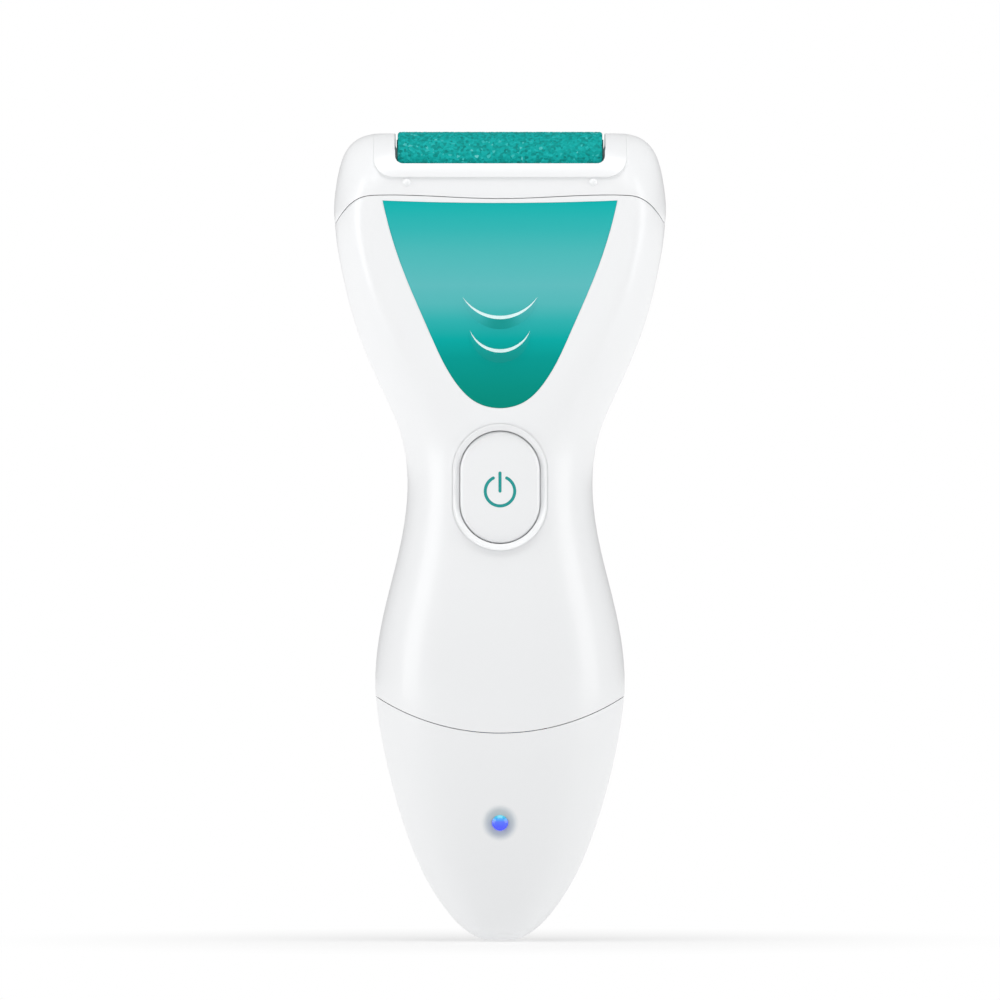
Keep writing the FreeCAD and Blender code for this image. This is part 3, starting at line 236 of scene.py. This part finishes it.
def grit():
    """Mineral grains in several teals, a few of them pale."""
    look = Look("teal_grit", linear(10, 150, 148), rough=0.62, Specular_IOR_Level=0.1)
    cells = look.add("ShaderNodeTexVoronoi")
    cells.inputs["Scale"].default_value = 1900
    look.join(look.place(), cells.inputs["Vector"])
    colour = look.ramp(cells.outputs["Color"], [
        (0.0, linear(0, 122, 116)),
        (0.5, linear(0, 160, 155)),
        (0.85, linear(20, 176, 173)),
        (1.0, linear(104, 200, 198)),
    ])
    look.join(colour, look.shader.inputs["Base Color"])
    look.vary_roughness(2500, 0.35, 0.8)
    return look.material


def blue_lens():
    """A lamp's clear lens, lit blue from behind, with painted light making it greener towards its top."""
    look = Look("blue_lens", linear(30, 70, 240), rough=0.1, coat=0.8)
    low, high = (corner[2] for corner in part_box("led_lens"))
    # Painted light: greener towards the top, where light from above falls on the lens.
    light = look.ramp(look.height(low, high), [
        (0.3, linear(50, 66, 235)),
        (0.55, linear(60, 92, 236)),
        (0.68, linear(52, 150, 212)),
        (0.8, linear(70, 186, 206)),
    ])
    look.join(light, look.shader.inputs["Base Color"])
    look.join(light, look.shader.inputs["Emission Color"])
    look.shader.inputs["Emission Strength"].default_value = 0.55
    return look.material


def plain(name, colour, rough, metal=0.0, grain=1500, spread=0.06, **inputs):
    look = Look(name, colour, rough=rough, metal=metal, **inputs)
    look.vary_roughness(grain, max(rough - spread, 0.02), rough + spread)
    look.bump(look.noise(grain * 1.6, 2), 0.06, 0.00002)
    return look.material


WHITE = white_plastic().material
TEAL = teal_panel()
GRIT = grit()
STEEL = plain("steel", linear(200, 203, 207), 0.28, 1.0)
BRASS = plain("brass", linear(205, 168, 96), 0.3, 1.0)
BLACK = plain("black_plastic", linear(32, 33, 36), 0.45)
NATURAL = plain("natural_nylon", linear(232, 228, 214), 0.42)
BOARD = plain("board_green", linear(18, 92, 52), 0.38)
RED = plain("red_wire", linear(170, 22, 24), 0.4)
BLUE_WRAP = plain("battery_wrap", linear(38, 88, 170), 0.3)
COPPER = plain("copper_winding", linear(176, 98, 56), 0.35, 0.8)
ICON = plain("icon_teal", linear(10, 152, 148), 0.45)
LENS = blue_lens()

LOOKS = {
    "front_panel": TEAL, "roller_sleeve": GRIT, "power_icon": ICON, "led_lens": LENS, "charge_led": LENS,
    "drive_bush": BRASS, "motor_pinion": BRASS, "motor_terminals": BRASS,
    "drive_gear": NATURAL, "idler_gear": NATURAL, "motor_armature": COPPER,
    "circuit_board": BOARD, "charge_board": BOARD, "battery": BLUE_WRAP,
    "battery_leads": RED, "motor_leads": RED, "charge_leads": BLACK,
    "bottom_cap": lamp_surround_painted_glow().material,
}
STEELS = ("motor_can", "motor_shaft", "idler_axle", "retaining_pin", "release_spring", "case_screws",
          "board_screws", "gear_plate_screws", "battery_tabs", "charging_socket", "gear_plate")
BLACKS = ("drive_end_cap", "idle_end_cap", "motor_magnets", "motor_end_bell", "socket_contacts",
          "tact_switch", "switch_plunger", "board_chips", "motor_bracket")
LOOKS.update({name: STEEL for name in STEELS})
LOOKS.update({name: BLACK for name in BLACKS})
for name, node in nodes.items():
    node.data.materials.clear()
    node.data.materials.append(LOOKS.get(name, WHITE))

# ---------------------------------------------------------------- roller


def grain_field(rows, columns, length, girth, spacing):
    """Heights of 0 to 1 over the unrolled sleeve: rounded, seeded grains that wrap round the girth."""
    random = np.random.default_rng(7)
    count = int(length * girth / spacing**2 * 1.5)
    along, around = random.uniform(0, rows - 1, count), random.uniform(0, columns, count)
    radius = random.uniform(0.55, 1.0, count) * spacing
    tall = random.uniform(0.35, 1.0, count)
    field = np.zeros((rows, columns))
    step_along, step_around = length / (rows - 1), girth / columns
    reach = int(spacing / min(step_along, step_around)) + 1
    offsets = range(-reach, reach + 1)
    near_along, near_around = np.rint(along).astype(int), np.rint(around).astype(int)
    for row_shift in offsets:
        rows_here = np.clip(near_along + row_shift, 0, rows - 1)
        for column_shift in offsets:
            columns_here = near_around + column_shift
            away = np.hypot((rows_here - along) * step_along, (columns_here - around) * step_around) / radius
            rise = tall * np.sqrt(np.clip(1 - away**2, 0, None))
            np.maximum.at(field, (rows_here, columns_here % columns), rise)
    return field


def gritty_sleeve():
    """The abrasive sleeve with its mineral grains, in place of the smooth CAD tube."""
    low, high = (np.array(corner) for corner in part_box("roller_sleeve"))
    centre = (low + high) / 2
    half, radius = (high[0] - low[0]) / 2, (high[2] - low[2]) / 2
    inner, grain_spacing, grain_height, grain_sink = 6.52 * MM, 0.36 * MM, 0.17 * MM, 0.1 * MM
    shoulder_length, shoulder_drop = 0.7 * MM, 0.45 * MM
    rows, columns = 300, 380
    field = grain_field(rows, columns, 2 * half, 2 * math.pi * radius, grain_spacing)
    x = np.linspace(-half, half, rows)
    from_end = np.clip((half - np.abs(x)) / shoulder_length, 0, 1)
    shoulder = shoulder_drop * (1 - np.sqrt(1 - (1 - from_end) ** 2))
    r = radius - grain_sink - shoulder[:, None] + grain_height * field
    angle = 2 * math.pi * np.arange(columns) / columns
    outer = np.stack([np.broadcast_to(x[:, None], r.shape), r * np.cos(angle), r * np.sin(angle)], -1)
    rings = [np.stack([np.full(columns, side * half), inner * np.cos(angle), inner * np.sin(angle)], -1)
             for side in (-1, 1)]
    vertices = np.concatenate([rings[0][None], outer, rings[1][None]]).reshape(-1, 3) + centre
    row, column = np.meshgrid(np.arange(rows + 1), np.arange(columns), indexing="ij")
    following = (column + 1) % columns
    faces = np.stack([row * columns + column, (row + 1) * columns + column,
                      (row + 1) * columns + following, row * columns + following], -1).reshape(-1, 4)
    mesh = bpy.data.meshes.new("abrasive_sleeve")
    mesh.from_pydata(vertices.tolist(), [], faces.tolist())
    mesh.polygons.foreach_set("use_smooth", [True] * len(mesh.polygons))
    mesh.materials.append(GRIT)
    sleeve = bpy.data.objects.new("abrasive_sleeve", mesh)
    bpy.context.scene.collection.objects.link(sleeve)
    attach(sleeve, "roller")
    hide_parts("roller_sleeve")


gritty_sleeve()

# ---------------------------------------------------------------- release spring


def springy_coil():
    """The release spring as a piece of its own on the head, in place of the CAD spring."""
    spring = nodes["release_spring"]
    coil = bpy.data.objects.new("release_coil", spring.data.copy())
    bpy.context.scene.collection.objects.link(coil)
    coil.matrix_world = spring.matrix_world
    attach(coil, "head")
    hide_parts("release_spring")
    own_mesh(coil)


springy_coil()

# ---------------------------------------------------------------- studio


def floor():
    """A pale floor that turns into the white background further out."""
    half, drop, glow_reach = 6, 0.4 * MM, 120 * MM
    corners = [(-half, -half, 0), (half, -half, 0), (half, half, 0), (-half, half, 0)]
    mesh = bpy.data.meshes.new("floor")
    mesh.from_pydata(corners, [], [(0, 1, 2, 3)])
    plane = bpy.data.objects.new("floor", mesh)
    bpy.context.scene.collection.objects.link(plane)
    plane.location.z = -drop
    look = Look("floor_white", linear(250, 250, 250), rough=0.8)
    distance = look.add("ShaderNodeVectorMath", operation="LENGTH")
    look.join(look.place(), distance.inputs[0])
    fade = look.spread(distance.outputs["Value"], 0.0, glow_reach, to_min=0.55, way="SMOOTHSTEP")
    glow = look.add("ShaderNodeEmission")
    mix = look.add("ShaderNodeMixShader")
    look.join(fade, mix.inputs["Fac"])
    look.join(look.shader.outputs["BSDF"], mix.inputs[1])
    look.join(glow.outputs["Emission"], mix.inputs[2])
    look.join(mix.outputs["Shader"], look.tree.nodes["Material Output"].inputs["Surface"])
    mesh.materials.append(look.material)


def softbox(name, place, target, width, height, power):
    """A rectangular area light that points at a target."""
    light = bpy.data.lights.new(name, "AREA")
    light.shape = "RECTANGLE"
    light.size, light.size_y = width, height
    light.energy = power
    lamp = bpy.data.objects.new(name, light)
    bpy.context.scene.collection.objects.link(lamp)
    lamp.location = place
    lamp.rotation_euler = (Vector(target) - Vector(place)).to_track_quat("-Z", "Y").to_euler()


def world():
    """White as the camera sees it, and a softer white as it lights the object."""
    scene = bpy.context.scene
    scene.world = bpy.data.worlds.new("studio")
    scene.world.use_nodes = True
    tree = scene.world.node_tree
    paths = tree.nodes.new("ShaderNodeLightPath")
    lit = tree.nodes["Background"]
    lit.inputs["Color"].default_value = (1, 1, 1, 1)
    lit.inputs["Strength"].default_value = 0.3
    seen = tree.nodes.new("ShaderNodeBackground")
    seen.inputs["Color"].default_value = (1, 1, 1, 1)
    seen.inputs["Strength"].default_value = 1.0
    mix = tree.nodes.new("ShaderNodeMixShader")
    tree.links.new(paths.outputs["Is Camera Ray"], mix.inputs["Fac"])
    tree.links.new(lit.outputs["Background"], mix.inputs[1])
    tree.links.new(seen.outputs["Background"], mix.inputs[2])
    tree.links.new(mix.outputs["Shader"], tree.nodes["World Output"].inputs["Surface"])
    scene.view_settings.view_transform = "Standard"


def camera():
    """A long lens straight in front, level with the middle of the picture."""
    picture_span = 204 * MM  # what the picture's width covers at the object
    front_depth = 8 * MM  # where that span is right, in front of the object's middle
    eye_height = 89.8 * MM
    lens = bpy.data.cameras.new("camera")
    lens.lens = 600
    lens.sensor_width = 36
    eye = bpy.data.objects.new("camera", lens)
    bpy.context.scene.collection.objects.link(eye)
    bpy.context.scene.camera = eye
    distance = picture_span * lens.lens / lens.sensor_width
    eye.location = (0.0, -distance - front_depth, eye_height)
    eye.rotation_euler = (math.radians(90), 0, 0)


floor()
world()
softbox("left_box", (-0.6, -0.24, 0.14), (0, 0, 0.09), 0.3, 1.0, 2.3)
softbox("right_box", (0.6, -0.24, 0.14), (0, 0, 0.09), 0.3, 1.0, 2.05)
softbox("top_box", (0, -0.25, 0.75), (0, 0, 0.12), 0.6, 0.6, 2.6)
camera()
